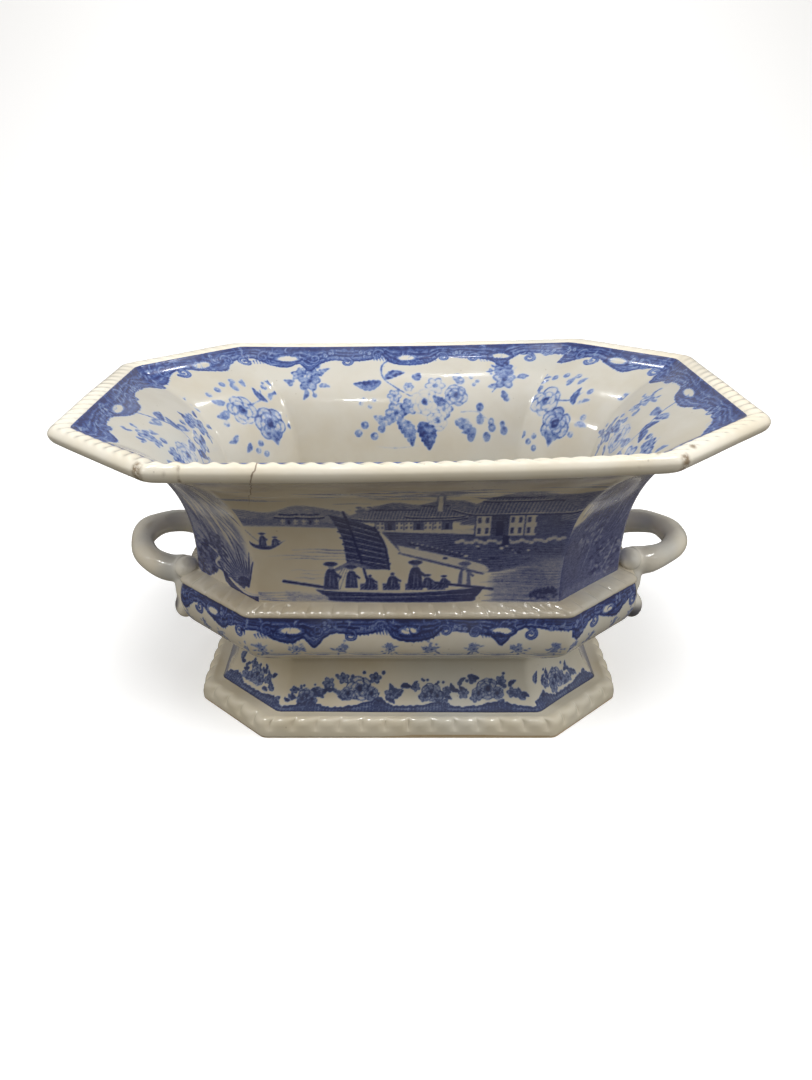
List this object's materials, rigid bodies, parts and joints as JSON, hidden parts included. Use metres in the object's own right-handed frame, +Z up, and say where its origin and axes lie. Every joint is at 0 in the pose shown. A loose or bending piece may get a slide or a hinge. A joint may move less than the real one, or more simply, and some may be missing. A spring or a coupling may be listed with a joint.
{
  "type": "serving bowl",
  "caption": "Blue and white printed octagonal serving bowl on a spreading foot, with a looped handle at each end and a moulded rim.",
  "frame": {"origin": "centre of the standing face, under the middle of the bowl", "axes": "+X along the length, from the left handle to the right handle; +Y from the front panel to the back; +Z up"},
  "size_m": [0.344, 0.24, 0.171],
  "materials": {
    "ivory_glaze": "gloss",
    "printed_wall": "gloss",
    "printed_border": "gloss",
    "printed_foot": "gloss",
    "handle_glaze": "gloss",
    "bare_clay": "matte"
  },
  "bodies": {
    "root": {"rim_band": "ivory_glaze", "bowl_wall": "printed_wall", "waist_band": "ivory_glaze", "belly": "printed_border", "bowl_floor": "ivory_glaze", "slip_joint": "bare_clay", "foot": "printed_foot", "foot_band": "ivory_glaze", "foot_ring": "bare_clay", "handle_left": "handle_glaze", "handle_right": "handle_glaze", "left_front_terminal": "handle_glaze", "left_back_terminal": "handle_glaze", "right_front_terminal": "handle_glaze", "right_back_terminal": "handle_glaze"}
  },
  "joints": []
}
